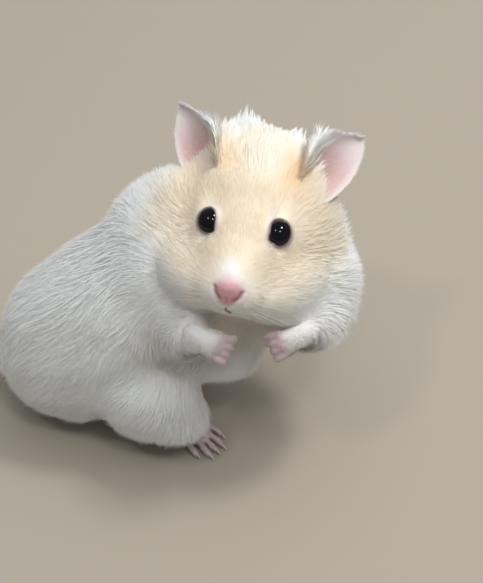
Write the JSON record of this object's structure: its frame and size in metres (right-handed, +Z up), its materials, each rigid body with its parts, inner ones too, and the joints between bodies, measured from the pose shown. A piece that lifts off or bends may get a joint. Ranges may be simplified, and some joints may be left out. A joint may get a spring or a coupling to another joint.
{
  "type": "syrian hamster",
  "caption": "Life-size Syrian hamster sitting up on its haunches, forepaws held to its chest and face turned up, as a still figure.",
  "frame": {"origin": "middle of the model's bounding box, at floor level", "axes": "+Z up; the face looks towards -Y and upwards; the rump lies towards -X and the animal's left shoulder towards +X"},
  "size_m": [0.0924, 0.0544, 0.0751],
  "materials": {
    "cream_coat": "matt cream and apricot fur",
    "white_coat": "matt white fur",
    "bare_skin": "soft greyish pink skin, thinly haired",
    "eye_black": "wet and glossy"
  },
  "bodies": {
    "root": {"head": "cream_coat", "neck": "white_coat", "trunk": "white_coat", "foreleg_left": "white_coat", "foreleg_right": "white_coat", "hindleg_left": "white_coat", "hindleg_right": "white_coat", "nose": "bare_skin", "ear_left": "bare_skin", "ear_right": "bare_skin", "forepaw_left": "bare_skin", "forepaw_right": "bare_skin", "hindfoot_left": "bare_skin", "hindfoot_right": "bare_skin", "tail": "bare_skin", "eye_left": "eye_black", "eye_right": "eye_black"}
  },
  "joints": []
}
